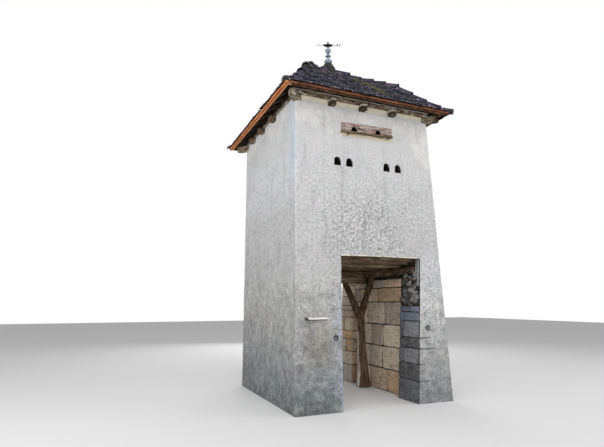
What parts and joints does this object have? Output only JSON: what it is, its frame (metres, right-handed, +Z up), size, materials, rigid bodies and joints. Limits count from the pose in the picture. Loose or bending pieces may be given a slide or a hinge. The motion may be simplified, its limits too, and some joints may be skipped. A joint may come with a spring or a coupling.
{
  "type": "gateway dovecote tower",
  "caption": "Square rendered stone tower over a cart gateway, with pigeon holes, a flared hipped tile roof, finial and weathervane.",
  "frame": {"origin": "on the ground, centred under the roof", "axes": "+Z up, +X to the right along the front, +Y from the front wall towards the back"},
  "size_m": [3.764, 4.11, 8.162],
  "materials": {
    "lime_render": "rough lime render over rubble",
    "old_oak": "old hewn oak",
    "grey_timber": "weathered grey timber",
    "weathered_plank": "weathered plank",
    "dark_tile": "old flat clay tiles, dark with lichen",
    "hip_tile": "half-round clay tiles bedded in mortar",
    "orange_tile": "clay tile edges",
    "mortar": "mossy mortar",
    "zinc": "dull weathered zinc",
    "wrought_iron": "dark wrought iron",
    "slab_stone": "broken stone"
  },
  "bodies": {
    "tower": {"apex_cap": "mortar", "back_pier_left": "lime_render", "back_pier_right": "lime_render", "back_wall": "lime_render", "beam_fill": "lime_render", "corner_beams": "grey_timber", "cross_beam": "old_oak", "eave_beams": "grey_timber", "eave_boards": "grey_timber", "eave_sprockets": "grey_timber", "eave_tiles": "orange_tile", "finial": "zinc", "floor_beam": "old_oak", "floor_boards": "old_oak", "floor_joists": "old_oak", "forked_post": "old_oak", "front_pier_left": "lime_render", "front_pier_right": "lime_render", "front_wall_flight_course": "lime_render", "front_wall_head": "lime_render", "front_wall_hole_course": "lime_render", "front_wall_middle": "lime_render", "front_wall_over_gate": "lime_render", "gate_lintels": "old_oak", "hip_tiles": "hip_tile", "landing_ledge": "weathered_plank", "ledge_brackets": "weathered_plank", "left_wall_lower": "lime_render", "left_wall_upper": "lime_render", "lintel_coats": "lime_render", "pigeon_plank": "weathered_plank", "right_wall_lower": "lime_render", "right_wall_upper": "lime_render", "ring_eyes": "wrought_iron", "roof_back": "dark_tile", "roof_front": "dark_tile", "roof_left": "dark_tile", "roof_right": "dark_tile", "side_beams": "grey_timber", "vane_spindle": "wrought_iron", "wall_plates": "grey_timber", "wall_slab": "slab_stone"},
    "weathervane": {"weathervane": "wrought_iron"},
    "ring_left": {"ring_left": "wrought_iron"},
    "ring_right": {"ring_right": "wrought_iron"}
  },
  "joints": [
    {"name": "vane_turn", "type": "hinge", "parent": "tower", "child": "weathervane", "pos_m": [0, 0, 8.05], "axis": [0, 0, 1], "continuous": true},
    {"name": "ring_left_swing", "type": "hinge", "parent": "tower", "child": "ring_left", "pos_m": [-0.727, -1.654, 1.312], "axis": [-1, 0, 0], "range_deg": [0, 85]},
    {"name": "ring_right_swing", "type": "hinge", "parent": "tower", "child": "ring_right", "pos_m": [1.293, -1.654, 1.442], "axis": [-1, 0, 0], "range_deg": [0, 85]}
  ]
}
